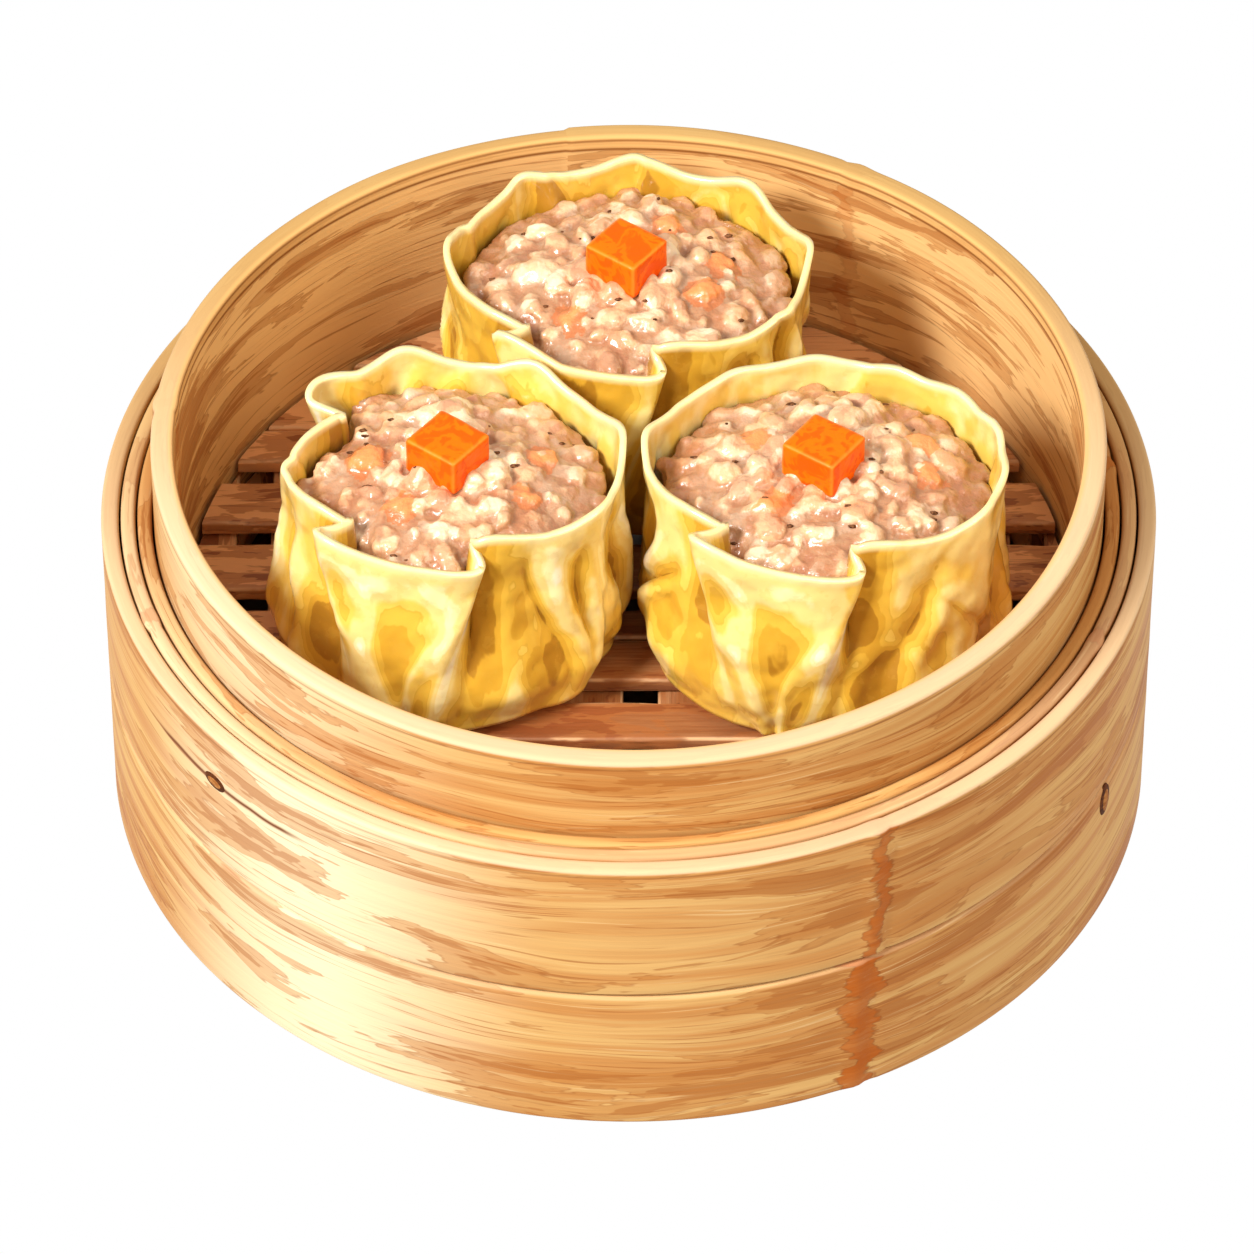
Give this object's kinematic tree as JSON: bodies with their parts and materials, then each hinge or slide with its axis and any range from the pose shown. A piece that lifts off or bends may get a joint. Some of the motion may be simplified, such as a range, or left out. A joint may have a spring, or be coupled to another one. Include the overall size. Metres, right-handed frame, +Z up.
{
  "type": "siu mai dumplings in a bamboo steamer",
  "caption": "Open-topped pork dumplings with carrot cubes on top, standing on the slatted deck of a small round bamboo steamer basket.",
  "frame": {"origin": "middle of the basket's footprint, on the surface it stands on", "axes": "+Z up, -Y towards the front of the basket, where the two front dumplings stand side by side, +X to the right"},
  "size_m": [0.14, 0.14, 0.064],
  "materials": {
    "bamboo": "satin, pale honey-coloured split bamboo with fine grain along the hoops",
    "wet_bamboo": "damp, steam-darkened red-brown bamboo with paler worn edges",
    "dough": "moist, half-translucent yellow steamed wheat dough",
    "filling": "moist, lumpy pinkish-beige minced meat with wet glints",
    "carrot": "moist cooked orange carrot with lighter edges"
  },
  "bodies": {
    "root": {"outer_band_lower": "bamboo", "outer_band_upper": "bamboo", "middle_hoop_outer": "bamboo", "middle_hoop_inner": "bamboo", "inner_hoop": "bamboo", "deck_ring": "wet_bamboo", "board_1": "wet_bamboo", "board_2": "wet_bamboo", "board_3": "wet_bamboo", "board_4": "wet_bamboo", "board_5": "wet_bamboo", "board_6": "wet_bamboo", "slat_1": "wet_bamboo", "slat_2": "wet_bamboo", "slat_3": "wet_bamboo", "slat_4": "wet_bamboo", "slat_5": "wet_bamboo", "slat_6": "wet_bamboo", "slat_7": "wet_bamboo", "slat_8": "wet_bamboo", "slat_9": "wet_bamboo", "slat_10": "wet_bamboo", "wrapper_left": "dough", "filling_left": "filling", "carrot_left": "carrot", "wrapper_right": "dough", "filling_right": "filling", "carrot_right": "carrot", "wrapper_rear": "dough", "filling_rear": "filling", "carrot_rear": "carrot"}
  },
  "joints": []
}
